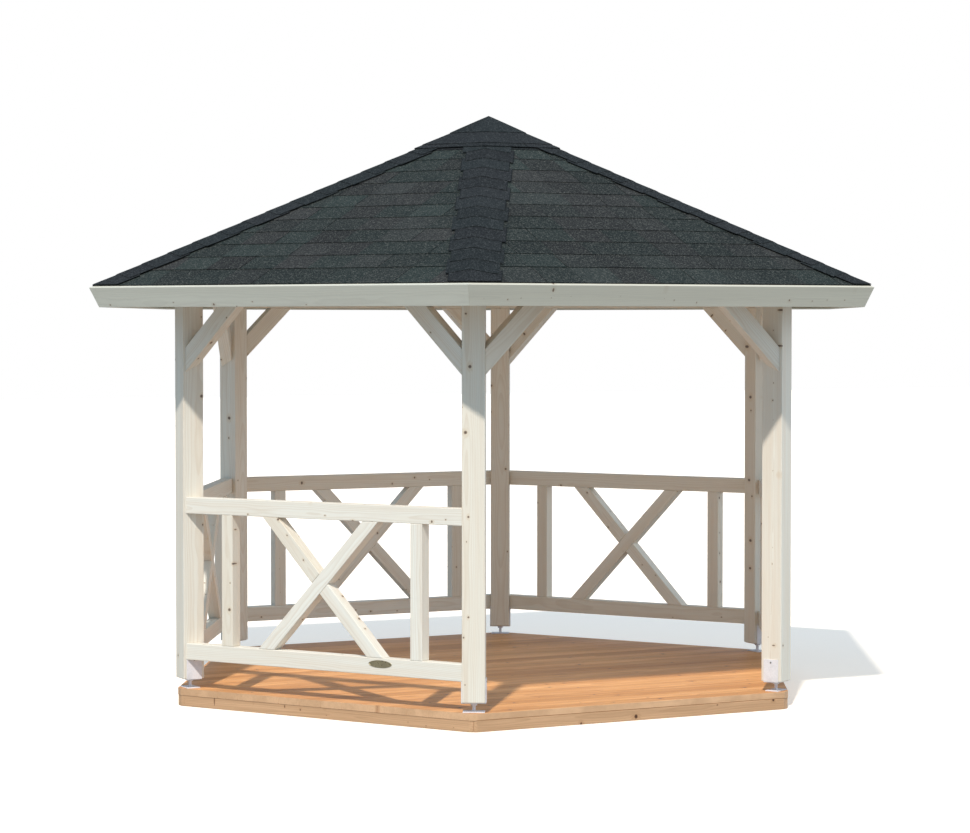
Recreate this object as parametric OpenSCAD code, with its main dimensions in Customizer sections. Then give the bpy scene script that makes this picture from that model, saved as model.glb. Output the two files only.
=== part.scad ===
// Hexagonal timber garden gazebo, millimetres.
// Origin: centre of the deck's underside. +Z up, +X through two opposite corner posts,
// entrance bay towards -Y.
// Bays are drawn with their outward normal along +Y and turned into place; corners are drawn along +X.

/* [Plan] */
// Distance from the centre to each post's centre
post_radius = 1860; // [1500:10:2600]
// Side of a square post
post_side = 120; // [90:1:150]
// How far the outer face of rails, braces and head beams lies outside the line between post centres
face_out = 71; // [50:1:90]

/* [Deck] */
// How far the deck's corners, before they are clipped, lie outside the post centres
deck_over = 75; // [70:1:160]
// Length clipped off each deck corner
deck_clip = 12; // [5:1:60]
// Thickness of the floor boards
floor_thick = 37; // [20:1:60]
// Height of the frame under the floor
frame_height = 60; // [40:1:160]
// Width of a frame member
frame_width = 58; // [40:1:100]
// How far the frame is set back from the floor's edge
frame_inset = 2; // [0:1:40]
// Number of joists
joist_count = 5; // [3:2:9]

/* [Post feet] */
// Gap between the floor and the underside of a post
foot_gap = 54; // [25:1:90]
// Thickness of the steel plates
steel_thick = 5; // [3:1:8]
// Width of the base plate across the post
base_width = 114; // [80:1:140]
// Depth of the base plate, measured outwards
base_depth = 76; // [60:1:110]
// Diameter of the stem
stem_dia = 18; // [10:1:30]
// Width of the bracket's side plates
strap_width = 88; // [40:1:110]
// Height of the bracket's side plates above the post's underside
strap_height = 122; // [60:1:200]

/* [Railings] */
// Thickness of rails, balusters, crossed members and braces
member_thick = 70; // [45:1:90]
// Height of a rail's face
rail_height = 90; // [60:1:120]
// Top of the top rail above the floor
rail_top = 1056; // [800:1:1250]
// Underside of the bottom rail above the floor
rail_low = 162; // [60:1:300]
// Face width of balusters and crossed members
member_width = 74; // [45:1:100]
// Distance along the bay from a post's centre to a baluster's centre
baluster_in = 313; // [200:1:400]
// Distance along the bay from a baluster's centre to a crossed member's axis, at the top rail
cross_in_top = 291; // [100:1:330]
// Distance along the bay from a baluster's centre to a crossed member's axis, at the bottom rail
cross_in_low = 262; // [100:1:330]

/* [Head] */
// Height of the post tops above the floor's surface
head_clear = 2103; // [1900:1:2600]
// Height of a head beam
beam_height = 150; // [100:5:220]
// Width of a head beam
beam_width = 120; // [90:1:150]
// Depth of a knee brace across its length
brace_depth = 96; // [60:1:130]
// How far below the head beam a brace meets its post, measured along the brace's lower edge
brace_drop = 364; // [250:1:600]

/* [Roof] */
// Roof pitch in degrees, measured at the middle of an eave
roof_pitch = 25; // [15:0.5:40]
// How far the lower edge of the roof boards lies outside the line between post centres
eave_over = 481; // [300:1:800]
// Height of the roof boards' upper surface at the eave, above the post tops
eave_rise = 105; // [90:1:160]
// Thickness of the roof boards
board_thick = 19; // [15:1:28]
// Thickness of the shingle layer
shingle_thick = 6; // [3:1:12]
// Width of a hip rafter
rafter_width = 70; // [45:1:100]
// Depth of a hip rafter's seat over the outer corner of the head beams
rafter_seat = 45; // [30:1:80]
// Distance from the centre to the flat faces of the king block
king_reach = 80; // [60:1:120]
// Height of the fascia boards
fascia_height = 117; // [80:1:180]
// Thickness of the fascia boards
fascia_thick = 20; // [15:1:30]
// Half width of a hip cap, measured level from the hip line
cap_half = 136; // [80:1:160]
// Thickness of a hip cap
cap_thick = 4; // [2:1:8]
// Corner radius of the apex cap's lower tier
apex_low = 475; // [350:5:700]
// Corner radius of the apex cap's upper tier
apex_high = 245; // [120:5:340]
// Thickness of each tier of the apex cap where it shows
apex_step = 6; // [3:1:10]

/* [Hidden] */

wood = [0.90, 0.88, 0.82];
larch = [0.80, 0.58, 0.40];
pine = [0.78, 0.66, 0.48];
steel = [0.80, 0.81, 0.82];
felt = [0.20, 0.22, 0.22];

// Directions, in degrees: bays by their outward normal, posts by their corner
front = 270;
front_right = 330;
back_right = 30;
back = 90;
back_left = 150;
front_left = 210;
corners = [0, 60, 120, 180, 240, 300];

floor_top = frame_height + floor_thick;
foot_z = floor_top + foot_gap;
head_z = floor_top + head_clear;
beam_top = head_z + beam_height;
post_apothem = post_radius * cos(30);
panel_face = post_apothem + face_out;
panel_back = panel_face - member_thick;
deck_radius = post_radius + deck_over;

// Reach of a shape cut to length by its neighbours, depth of the square cut at the eave,
// and how far cuts run past
far = 4000;
deep = 400;
past = 100;

// Roof: heights of the boards' upper surface, and of planes parallel to it
slope = tan(roof_pitch);
eave_reach = post_apothem + eave_over;
eave_z = head_z + eave_rise;
apex_z = eave_z + eave_reach * slope;
under = -board_thick / cos(roof_pitch);
over_shingle = shingle_thick / cos(roof_pitch);
over_cap = (shingle_thick + cap_thick) / cos(roof_pitch);
over_low = (shingle_thick + cap_thick + apex_step) / cos(roof_pitch);
over_high = (shingle_thick + cap_thick + 2 * apex_step) / cos(roof_pitch);

eave_normal = [sin(roof_pitch), cos(roof_pitch)];
down_slope = [cos(roof_pitch), -sin(roof_pitch)];
eave_edge = [eave_reach, eave_z];

// Half length of the clear gap between two posts' side faces, at a distance from the centre
function gap_half(y) = post_radius / 2 - (post_side / 2 - (y - post_apothem) / 2) / cos(30);

// Height of the roof plane at a distance from the centre, raised by some upright amount
function roof_at(y, up) = apex_z - y * slope + up;

module bay(angle) rotate([0, 0, angle - 90]) children();

// Upright section in the plane through a bay's middle, run along the bay and mitred at both corners
module bay_run(section) {
  intersection() {
    rotate([90, 0, 90]) translate([0, 0, -far / 2]) linear_extrude(far) polygon(section);
    linear_extrude(far) polygon([[0, 0], [far * tan(30), far], [-far * tan(30), far]]);
  }
}

// Everything below one bay's roof plane, raised by some upright amount and cut square at the eave
module below_roof(up, reach) {
  edge = [reach, roof_at(reach, 0)];
  low = edge - deep * eave_normal;
  top_y = reach + up * cos(roof_pitch) * sin(roof_pitch);
  rotate([90, 0, 90]) translate([0, 0, -far / 2]) linear_extrude(far) polygon([
    [-far / 2, 0], [low[0], 0], low, [top_y, roof_at(top_y, up)], [-far / 2, roof_at(-far / 2, up)]]);
}

// The same for the two bays that meet at the hip along +X
module below_hip(up, reach) {
  intersection() {
    rotate([0, 0, -60]) below_roof(up, reach);
    rotate([0, 0, -120]) below_roof(up, reach);
  }
}

// The same for all six bays
module below_peak(up) {
  intersection() {
    below_hip(up, eave_reach);
    rotate([0, 0, 120]) below_hip(up, eave_reach);
    rotate([0, 0, 240]) below_hip(up, eave_reach);
  }
}

// Plan of a clipped hexagon whose corners lie along the posts
module clipped_hexagon(reach, clip) {
  intersection() {
    circle(r = reach, $fn = 6);
    rotate(30) circle(r = (reach - clip) / cos(30), $fn = 6);
  }
}

// ---- Deck ----

module deck_floor() {
  color(larch) translate([0, 0, frame_height]) linear_extrude(floor_thick)
    clipped_hexagon(deck_radius, deck_clip);
}

frame_radius = deck_radius - frame_inset / cos(30);
frame_inner = frame_radius - frame_width / cos(30);

module deck_frame() {
  color(larch) linear_extrude(frame_height) difference() {
    clipped_hexagon(frame_radius, deck_clip);
    circle(r = frame_inner, $fn = 6);
  }
}

module joist(x) {
  left = x - frame_width / 2;
  right = x + frame_width / 2;
  linear_extrude(frame_height) intersection() {
    polygon([[left, -far], [right, -far], [right, far], [left, far]]);
    circle(r = frame_inner, $fn = 6);
  }
}

module deck_joists() {
  color(larch) for (i = [1:joist_count])
    joist(frame_inner * (2 * i / (joist_count + 1) - 1));
}

// ---- Posts and their feet ----

module post_foot() {
  strap_in = post_side / 2;
  translate([post_radius, 0, 0]) {
    translate([-base_depth / 2, -base_width / 2, floor_top]) cube([base_depth, base_width, steel_thick]);
    translate([0, 0, floor_top + steel_thick / 2])
      cylinder(h = foot_gap - steel_thick, d = stem_dia, $fn = 32);
    translate([-strap_width / 2, -strap_in - steel_thick, foot_z - steel_thick])
      cube([strap_width, 2 * (strap_in + steel_thick), steel_thick]);
    for (side = [0, 1]) mirror([0, side, 0])
      translate([-strap_width / 2, strap_in, foot_z - steel_thick])
        cube([strap_width, steel_thick, strap_height + steel_thick]);
  }
}

module post_feet() {
  color(steel) for (angle = corners) rotate([0, 0, angle]) post_foot();
}

module post(angle) {
  color(wood) rotate([0, 0, angle]) translate([post_radius - post_side / 2, -post_side / 2, foot_z])
    cube([post_side, post_side, head_z - foot_z]);
}

module post_entry_left() post(240);
module post_entry_right() post(300);
module post_right() post(0);
module post_back_right() post(60);
module post_back_left() post(120);
module post_left() post(180);

// ---- Railings ----

rail_under = floor_top + rail_low;
rail_over = floor_top + rail_top;
cross_base = rail_under + rail_height;
cross_head = rail_over - rail_height;
cross_rise = cross_head - cross_base;
baluster_at = post_radius / 2 - baluster_in;
cross_top = baluster_at - cross_in_top;
cross_low = baluster_at - cross_in_low;
cross_lean = atan((cross_top + cross_low) / cross_rise);

module bay_plan() {
  out_half = gap_half(panel_face);
  in_half = gap_half(panel_back);
  polygon([[-out_half, panel_face], [out_half, panel_face], [in_half, panel_back], [-in_half, panel_back]]);
}

module rail(base) translate([0, 0, base]) linear_extrude(rail_height) bay_plan();

module baluster(side)
  translate([side * baluster_at - member_width / 2, panel_back, cross_base])
    cube([member_width, member_thick, cross_rise]);

module cross_member(side) {
  face_half = member_width / 2 / cos(cross_lean);
  low = -side * cross_low;
  high = side * cross_top;
  translate([0, panel_face, 0]) rotate([90, 0, 0]) linear_extrude(member_thick) polygon([
    [low - face_half, cross_base], [low + face_half, cross_base],
    [high + face_half, cross_head], [high - face_half, cross_head]]);
}

// The bottom rail is relieved at both ends over the straps of the post feet
module railing(angle) {
  color(wood) bay(angle) difference() {
    union() {
      rail(rail_under);
      rail(cross_head);
      for (side = [-1, 1]) {
        baluster(side);
        cross_member(side);
      }
    }
    for (turn = [60, 120]) rotate([0, 0, turn]) post_foot();
  }
}

module railing_front_left() railing(front_left);
module railing_back_left() railing(back_left);
module railing_back() railing(back);
module railing_back_right() railing(back_right);
module railing_front_right() railing(front_right);

// ---- Head beams and knee braces ----

module beam(angle) {
  back_y = panel_face - beam_width;
  color(wood) bay(angle)
    bay_run([[back_y, head_z], [panel_face, head_z], [panel_face, beam_top], [back_y, beam_top]]);
}

module beam_front() beam(front);
module beam_front_right() beam(front_right);
module beam_back_right() beam(back_right);
module beam_back() beam(back);
module beam_back_left() beam(back_left);
module beam_front_left() beam(front_left);

module brace(side) {
  foot_x = gap_half(panel_face);
  cut = brace_depth / cos(45);
  low_z = head_z - brace_drop;
  intersection() {
    translate([0, panel_face, 0]) rotate([90, 0, 0]) linear_extrude(member_thick) polygon([
      [side * foot_x, low_z], [side * (foot_x - brace_drop), head_z],
      [side * (foot_x - brace_drop + cut), head_z], [side * foot_x, low_z + cut]]);
    linear_extrude(far) bay_plan();
  }
}

module braces(side) {
  color(wood) for (angle = corners) bay(angle + 30) brace(side);
}

// Left and right as seen from inside the gazebo
module braces_left_hand() braces(-1);
module braces_right_hand() braces(1);

// ---- Roof frame ----

// Height of the boards' underside on the hip line, at a distance from the centre
function hip_at(r) = apex_z + under - r * slope * cos(30);

seat_radius = panel_face / cos(30);

// Upright height of a rafter, and how far its tail stays above the fascia's lower edge
rafter_height = hip_at(seat_radius) - beam_top + rafter_seat;
tail_clear = 16;

module hip_rafter() {
  tail = (eave_reach + past) / cos(30);
  tail_z = eave_z - fascia_height * cos(roof_pitch) + tail_clear;
  tail_r = (apex_z + under - rafter_height - tail_z) / (slope * cos(30));
  difference() {
    intersection() {
      translate([0, rafter_width / 2, 0]) rotate([90, 0, 0]) linear_extrude(rafter_width) polygon([
        [king_reach, hip_at(king_reach) - rafter_height], [king_reach, hip_at(king_reach) + past],
        [tail, hip_at(tail) + past], [tail, tail_z], [tail_r, tail_z]]);
      below_hip(under, eave_reach);
    }
    linear_extrude(beam_top) circle(r = seat_radius, $fn = 6);
  }
}

module hip_rafters() {
  color(wood) for (angle = corners) rotate([0, 0, angle]) hip_rafter();
}

module king_block() {
  color(wood) intersection() {
    translate([0, 0, hip_at(king_reach) - rafter_height])
      linear_extrude(far) rotate(30) circle(r = king_reach / cos(30), $fn = 6);
    below_peak(under);
  }
}

// ---- Roof boards, shingles and caps ----

// Layer parallel to the roof plane in one bay, between two upright heights and square at the eave
module layer(low, high, reach) {
  end_low = reach + low * cos(roof_pitch) * sin(roof_pitch);
  end_high = reach + high * cos(roof_pitch) * sin(roof_pitch);
  bay_run([[0, apex_z + low], [end_low, roof_at(end_low, low)],
    [end_high, roof_at(end_high, high)], [0, apex_z + high]]);
}

module roof_boards(angle) color(pine) bay(angle) layer(under, 0, eave_reach);

module roof_boards_front() roof_boards(front);
module roof_boards_front_right() roof_boards(front_right);
module roof_boards_back_right() roof_boards(back_right);
module roof_boards_back() roof_boards(back);
module roof_boards_back_left() roof_boards(back_left);
module roof_boards_front_left() roof_boards(front_left);

// Shingles stop at the apex cap, which fills the peak
module shingles(angle) {
  start = apex_low * cos(30);
  color(felt) bay(angle) difference() {
    layer(0, over_shingle, eave_reach);
    translate([-far / 2, -far + start, 0]) cube([far, far, far]);
  }
}

module shingles_front() shingles(front);
module shingles_front_right() shingles(front_right);
module shingles_back_right() shingles(back_right);
module shingles_back() shingles(back);
module shingles_back_left() shingles(back_left);
module shingles_front_left() shingles(front_left);

module hip_cap() {
  difference() {
    intersection() {
      below_hip(over_cap, eave_reach);
      translate([0, -cap_half, 0]) cube([far, 2 * cap_half, far]);
    }
    below_hip(over_shingle, eave_reach + past);
    cylinder(h = far, r = apex_low, $fn = 6);
  }
}

module hip_caps() {
  color(felt) for (angle = corners) rotate([0, 0, angle]) hip_cap();
}

module tier(up, radius) {
  intersection() {
    below_peak(up);
    cylinder(h = far, r = radius, $fn = 6);
  }
}

module apex_cap() {
  color(felt) difference() {
    union() {
      tier(over_low, apex_low);
      tier(over_high, apex_high);
    }
    below_peak(0);
  }
}

// ---- Fascia ----

module fascia(angle) {
  top_out = eave_edge + fascia_thick * down_slope;
  color(wood) bay(angle) bay_run([eave_edge - fascia_height * eave_normal, eave_edge,
    top_out, top_out - fascia_height * eave_normal]);
}

module fascia_front() fascia(front);
module fascia_front_right() fascia(front_right);
module fascia_back_right() fascia(back_right);
module fascia_back() fascia(back);
module fascia_back_left() fascia(back_left);
module fascia_front_left() fascia(front_left);

deck_frame();
deck_joists();
deck_floor();
post_feet();
post_entry_left();
post_entry_right();
post_right();
post_back_right();
post_back_left();
post_left();
railing_front_left();
railing_back_left();
railing_back();
railing_back_right();
railing_front_right();
beam_front();
beam_front_right();
beam_back_right();
beam_back();
beam_back_left();
beam_front_left();
braces_left_hand();
braces_right_hand();
hip_rafters();
king_block();
roof_boards_front();
roof_boards_front_right();
roof_boards_back_right();
roof_boards_back();
roof_boards_back_left();
roof_boards_front_left();
shingles_front();
shingles_front_right();
shingles_back_right();
shingles_back();
shingles_back_left();
shingles_front_left();
hip_caps();
apex_cap();
fascia_front();
fascia_front_right();
fascia_back_right();
fascia_back();
fascia_back_left();
fascia_front_left();
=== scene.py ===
from functools import partialmethod
from math import atan, cos, pi, radians, sin, tan
from random import Random

import bmesh
import bpy
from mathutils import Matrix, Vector


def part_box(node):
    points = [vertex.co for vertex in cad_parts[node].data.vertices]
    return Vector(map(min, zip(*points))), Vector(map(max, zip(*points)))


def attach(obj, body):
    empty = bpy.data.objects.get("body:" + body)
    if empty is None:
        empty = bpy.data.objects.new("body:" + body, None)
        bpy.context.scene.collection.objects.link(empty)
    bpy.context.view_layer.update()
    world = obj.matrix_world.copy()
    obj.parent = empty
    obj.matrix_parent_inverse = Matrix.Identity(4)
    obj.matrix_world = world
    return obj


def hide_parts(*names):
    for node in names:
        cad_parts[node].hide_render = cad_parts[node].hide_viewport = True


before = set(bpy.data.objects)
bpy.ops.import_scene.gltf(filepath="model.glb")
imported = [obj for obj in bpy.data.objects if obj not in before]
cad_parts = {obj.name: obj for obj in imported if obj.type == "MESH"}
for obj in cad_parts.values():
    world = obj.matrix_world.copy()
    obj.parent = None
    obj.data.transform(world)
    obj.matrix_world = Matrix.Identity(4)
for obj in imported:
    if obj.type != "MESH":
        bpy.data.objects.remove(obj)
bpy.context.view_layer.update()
print("construction loaded")


class Wire:
    # a socket that maths can be done with

    def __init__(self, net, socket):
        self.net, self.socket = net, socket

    def maths(self, operation, *others):
        ports = dict(enumerate((self,) + others))
        return self.net.add("ShaderNodeMath", {"operation": operation}, ports)

    def turned(self, operation, other):
        return self.net.add("ShaderNodeMath", {"operation": operation}, {0: other, 1: self})

    def __abs__(self): return self.maths("ABSOLUTE")
    def floor(self): return self.maths("FLOOR")
    def root(self): return self.maths("SQRT")
    def least(self, other): return self.maths("MINIMUM", other)
    def most(self, other): return self.maths("MAXIMUM", other)

    def other(self, name):
        # another output of the same node
        return Wire(self.net, self.socket.node.outputs[name])


for label, operation in {"add": "ADD", "sub": "SUBTRACT", "mul": "MULTIPLY", "truediv": "DIVIDE",
                         "pow": "POWER", "mod": "FLOORED_MODULO", "lt": "LESS_THAN",
                         "gt": "GREATER_THAN"}.items():
    setattr(Wire, f"__{label}__", partialmethod(Wire.maths, operation))
for label, operation in {"radd": "ADD", "rsub": "SUBTRACT"}.items():
    setattr(Wire, f"__{label}__", partialmethod(Wire.turned, operation))


class Net:
    # one node tree, with a single way to add any node to it

    def __init__(self, tree):
        self.tree = tree
        tree.nodes.clear()

    def add(self, kind, settings=None, ports=None, out=None):
        node = self.tree.nodes.new(kind)
        for name, value in (settings or {}).items():
            if name == "stops":
                ramp = node.color_ramp
                while len(ramp.elements) < len(value):
                    ramp.elements.new(0.5)
                for element, (place, colour) in zip(ramp.elements, value):
                    element.position = place
                    element.color = (*colour, 1.0)
            else:
                setattr(node, name, value)
        for name, value in (ports or {}).items():
            self.feed(node.inputs[name], value)
        if out is not None:
            return Wire(self, node.outputs[out])
        shown = [s for s in node.outputs if s.enabled]
        return Wire(self, shown[0]) if shown else node

    def feed(self, socket, value):
        if isinstance(value, Wire):
            self.tree.links.new(value.socket, socket)
        elif socket.type == "RGBA" and len(value) == 3:
            socket.default_value = (*value, 1.0)
        else:
            socket.default_value = value

    def vector(self, x=0.0, y=0.0, z=0.0):
        return self.add("ShaderNodeCombineXYZ", None, {"X": x, "Y": y, "Z": z})

    def parts(self, vector):
        x = self.add("ShaderNodeSeparateXYZ", None, {"Vector": vector})
        return x, x.other("Y"), x.other("Z")

    def shifted(self, vector, by):
        return self.add("ShaderNodeVectorMath", {"operation": "ADD"}, {0: vector, 1: by})

    def ease(self, value, low, high):
        # 0 at low, 1 at high, and smooth between them
        return self.add("ShaderNodeMapRange", {"interpolation_type": "SMOOTHSTEP"},
                        {"Value": value, "From Min": low, "From Max": high})

    def scatter(self, x, y, z):
        # the same random colour for everything within one whole-number cell
        return self.add("ShaderNodeTexWhiteNoise", {"noise_dimensions": "3D"},
                        {"Vector": self.vector(x, y, z)}, out="Color")

    def noise(self, vector, scale, detail=2.0, roughness=0.5):
        return self.add("ShaderNodeTexNoise", None, {"Vector": vector, "Scale": scale,
                        "Detail": detail, "Roughness": roughness})


class Finish(Net):
    # a material with one main shader

    def __init__(self, name, roughness, metallic=0.0, specular=0.5):
        self.material = bpy.data.materials.new(name)
        self.material.use_nodes = True
        super().__init__(self.material.node_tree)
        shader = self.tree.nodes.new("ShaderNodeBsdfPrincipled")
        end = self.tree.nodes.new("ShaderNodeOutputMaterial")
        self.tree.links.new(shader.outputs[0], end.inputs[0])
        self.shader = shader
        for port, value in (("Roughness", roughness), ("Metallic", metallic),
                            ("Specular IOR Level", specular)):
            self.set(port, value)

    def mix(self, amount, a, b, blend="MIX"):
        return self.add("ShaderNodeMix", {"data_type": "RGBA", "blend_type": blend},
                        {0: amount, 6: a, 7: b}, out=2)

    def spot(self):
        return self.add("ShaderNodeTexCoord", None, None, "Object")

    def attribute(self, name, out="Fac"):
        return self.add("ShaderNodeAttribute", {"attribute_name": name}, None, out)

    def set(self, port, value):
        self.feed(self.shader.inputs[port], value)

    def bump(self, height, strength, distance):
        self.set("Normal", self.add("ShaderNodeBump", None, {"Strength": strength,
                 "Distance": distance, "Height": height}))


def woodFinish(name, look):
    # grain runs along the first part of the attribute "grain", metres from each stick's own start
    net = Finish(name, look["roughness"], specular=look["sheen"])
    place = net.attribute("grain", "Vector")
    tone = net.attribute("tone")
    x, y, z = net.parts(place)

    # growth rings round a heart that wanders along the stick
    slow = net.noise(net.vector(x * 0.9, y * 2.0, z * 2.0), 1.0, 1.0)
    wander = net.noise(net.vector(x * 2.2, y * 6.0, z * 6.0), 1.0, 2.0)
    ringY, ringZ = y + slow * 0.09 - 0.03, z + wander * 0.03 + 0.02
    reach = (ringY * ringY + ringZ * ringZ).root()

    # knots: branches growing out from the heart, one at most in each cell and third of a turn
    turn = net.add("ShaderNodeMath", {"operation": "ARCTAN2"}, {0: ringZ, 1: ringY}) / (2 * pi) + 0.5
    sector, cell = (turn * 3.0).floor(), (x / look["knotCell"]).floor()
    chance = net.parts(net.scatter(cell, sector, 7.0))
    present = net.parts(net.scatter(cell, sector, 19.0))[0]
    dx = x - (cell + 0.5 + (chance[0] - 0.5) * 0.6) * look["knotCell"]
    arc = (turn - (sector + 0.5 + (chance[1] - 0.5) * 0.5) / 3.0) * (2 * pi) * reach
    size = look["knotLeast"] + chance[2] * chance[2] * (look["knotMost"] - look["knotLeast"])
    size = size * (present < look["knotShare"]) * (reach / 0.03).least(1.0) + 0.0001
    ragged = net.noise(net.vector(x * 90.0, y * 90.0, z * 90.0), 1.0, 1.0) * 0.35 + 0.82
    apart = (dx * dx + arc * arc).root() * ragged
    around = (dx * dx * 0.36 + arc * arc).root()
    knot = net.ease(apart / size, 1.0, 0.78)
    halo = net.ease(around / size, 2.2, 0.8)
    rings = (reach / look["ringGap"] + halo * 0.9) % 1.0
    late = net.ease(rings, 0.35, 0.9) * (1.0 - net.ease(rings, 0.93, 1.0))

    # streaks along the fibres
    fibre = net.noise(net.vector(x * 2.4, y * 120.0, z * 120.0), 1.0, 3.0, 0.6)
    cloud = net.noise(net.vector(x * 0.9, y * 24.0, z * 24.0), 1.0, 3.0, 0.6)

    colour = net.mix(net.ease(cloud, 0.3, 0.7), look["pale"], look["warm"])
    colour = net.mix(tone, colour, net.mix(1.0, colour, look["shift"], "MULTIPLY"))
    colour = net.mix(late * look["ringShow"], colour, look["late"])
    colour = net.mix(net.ease(fibre, 0.5, 0.78) * look["fibreShow"], colour, look["late"])
    if "rim" in look:
        # sawn outer faces of the deck, all round its six sides
        spot = net.spot()
        px, py = net.parts(spot)[:2]
        far = abs(py)
        for side in (30, 150):
            far = far.most(abs(px * cos(radians(side)) + py * sin(radians(side))))
        for corner in (0, 60, 120):
            tip = abs(px * cos(radians(corner)) + py * sin(radians(corner)))
            far = far.most(tip + look["rim"] - look["rimCorner"])
        weather = net.ease(net.noise(spot, 5.0, 4.0, 0.65), 0.36, 0.64)
        sawn = net.mix(weather, look["sawnPale"], look["sawnWarm"])
        sawn = net.mix(net.ease(fibre, 0.45, 0.8) * 0.3, sawn, look["sawnLate"])
        colour = net.mix(net.ease(far, look["rim"] - 0.003, look["rim"] - 0.0005), colour, sawn)
    colour = net.mix(halo * look["haloShow"], colour, look["halo"])
    heart = net.ease(apart / size, 0.75, 0.2)
    colour = net.mix(knot, colour, net.mix(heart, look["knot"], look["knotHeart"]))
    net.set("Base Color", colour)
    net.set("Roughness", look["roughness"] + (fibre - 0.5) * 0.25 - knot * 0.12)
    net.bump(fibre * 0.6 + late * 0.5 - knot * 0.5, look["relief"], 0.0006)
    return net.material


spruceLook = {"pale": (0.800, 0.765, 0.685), "warm": (0.775, 0.705, 0.605), "shift": (0.95, 0.91, 0.86),
              "late": (0.600, 0.480, 0.355), "ringShow": 0.30, "fibreShow": 0.26, "ringGap": 0.0075,
              "halo": (0.640, 0.500, 0.345), "haloShow": 0.48, "knot": (0.300, 0.215, 0.150),
              "knotHeart": (0.115, 0.085, 0.065), "knotCell": 0.13, "knotLeast": 0.0032,
              "knotMost": 0.0110, "knotShare": 0.60, "roughness": 0.55, "sheen": 0.35, "relief": 0.5}
spruce = woodFinish("whitewashedSpruce", spruceLook)
fasciaPaint = woodFinish("fasciaGlaze", dict(
    spruceLook, pale=(0.625, 0.600, 0.508), warm=(0.595, 0.566, 0.478), late=(0.48, 0.45, 0.38),
    ringShow=0.22, knotShare=0.75, halo=(0.50, 0.43, 0.33), haloShow=0.45, knotMost=0.0105))
pine = woodFinish("roofBoardPine", dict(
    spruceLook, pale=(0.66, 0.58, 0.44), warm=(0.60, 0.50, 0.35), late=(0.45, 0.33, 0.20),
    shift=(0.85, 0.80, 0.74), ringShow=0.4, roughness=0.6))
larchLook = {"pale": (0.870, 0.460, 0.188), "warm": (0.715, 0.335, 0.122), "shift": (0.72, 0.65, 0.56),
             "late": (0.400, 0.155, 0.052), "ringShow": 0.45, "fibreShow": 0.48, "ringGap": 0.0090,
             "halo": (0.420, 0.180, 0.070), "haloShow": 0.5, "knot": (0.170, 0.075, 0.035),
             "knotHeart": (0.060, 0.030, 0.018), "knotCell": 0.16, "knotLeast": 0.0035,
             "knotMost": 0.0120, "knotShare": 0.45, "roughness": 0.52, "sheen": 0.35, "relief": 0.6}
sawnLook = {"pale": (0.680, 0.415, 0.235), "warm": (0.560, 0.335, 0.185), "shift": (0.90, 0.88, 0.86),
            "late": (0.380, 0.215, 0.105), "ringShow": 0.35, "halo": (0.420, 0.230, 0.110)}
larchEdge = woodFinish("weatheredLarch", dict(larchLook, **sawnLook))


def feltFinish(name, look):
    # mineral granules pressed into bitumen, each tab a tone of its own; on hip cap pieces a painted shadow
    # line darkens most side edges
    net = Finish(name, look["roughness"], specular=look["sheen"])
    place = net.attribute("grain", "Vector")
    tone, hue = net.attribute("tone"), net.attribute("hue")
    granule = net.add("ShaderNodeTexVoronoi", {"feature": "F1"}, {"Vector": place,
                      "Scale": 1.0 / look["granule"], "Randomness": 1.0}, out="Color")
    lump = granule.other("Distance")
    speck = net.parts(granule)
    blot = net.noise(place, look["clump"], 3.0, 0.8)
    stain = net.noise(place, 3.2, 2.0)
    colour = net.mix(net.ease(hue, 0.25, 0.8), look["cool"], look["warm"])
    colour = net.mix(1.0, colour, net.add("ShaderNodeValToRGB", {"stops": [
        (0.0, (look["dark"],) * 3), (0.6, (1.0,) * 3), (1.0, (look["light"],) * 3)]},
        {"Fac": tone * 0.8 + stain * 0.2}), "MULTIPLY")
    colour = net.mix(net.ease(blot, 0.52, 0.72) * 0.6, colour, look["pale"])
    colour = net.mix(net.ease(blot, 0.46, 0.30) * 0.6, colour, look["black"])
    colour = net.mix(net.ease(speck[0], 0.80, 0.95) * 0.7, colour, look["pale"])
    colour = net.mix(net.ease(speck[1], 0.70, 0.95) * 0.6, colour, look["black"])
    # painted shadow: near-black along the side edges of most hip cap pieces, standing for the shade under
    # their lifted edges
    paintedEdgeShadow = net.ease(net.attribute("rim"), 0.955, 0.985) * (hue > 0.3)
    net.set("Base Color", net.mix(paintedEdgeShadow, colour, look["black"]))
    net.set("Roughness", look["roughness"] + (speck[2] - 0.5) * 0.2)
    net.bump(blot * 1.4 - lump * 0.8, 0.7, 0.0012)
    return net.material


feltLook = {"cool": (0.0130, 0.0190, 0.0168), "warm": (0.0178, 0.0170, 0.0164), "dark": 0.45, "light": 1.75,
            "pale": (0.112, 0.113, 0.099), "black": (0.004, 0.005, 0.0055), "granule": 0.0045,
            "clump": 88.0, "roughness": 0.88, "sheen": 0.2}
tabFelt = feltFinish("granuleFelt", feltLook)
capFelt = feltFinish("granuleFeltDark", dict(
    feltLook, cool=(0.0092, 0.0120, 0.0125), warm=(0.0108, 0.0114, 0.0125), dark=0.62, light=1.42,
    pale=(0.062, 0.066, 0.066)))


def zincFinish(name, colour, roughness, metallic):
    net = Finish(name, roughness, metallic)
    place = net.spot()
    flake = net.add("ShaderNodeTexVoronoi", {"feature": "F1"}, {"Vector": place, "Scale": 160.0,
                    "Randomness": 1.0}, out="Color")
    shade = net.parts(flake)[0]
    cloud = net.noise(place, 22.0, 3.0)
    dull = tuple(c * 0.80 for c in colour)
    net.set("Base Color", net.mix(net.ease(cloud, 0.35, 0.75) * 0.6 + shade * 0.35, colour, dull))
    net.set("Roughness", roughness + (shade - 0.5) * 0.22)
    net.bump(shade * 0.3 + cloud, 0.25, 0.0004)
    return net.material


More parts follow.
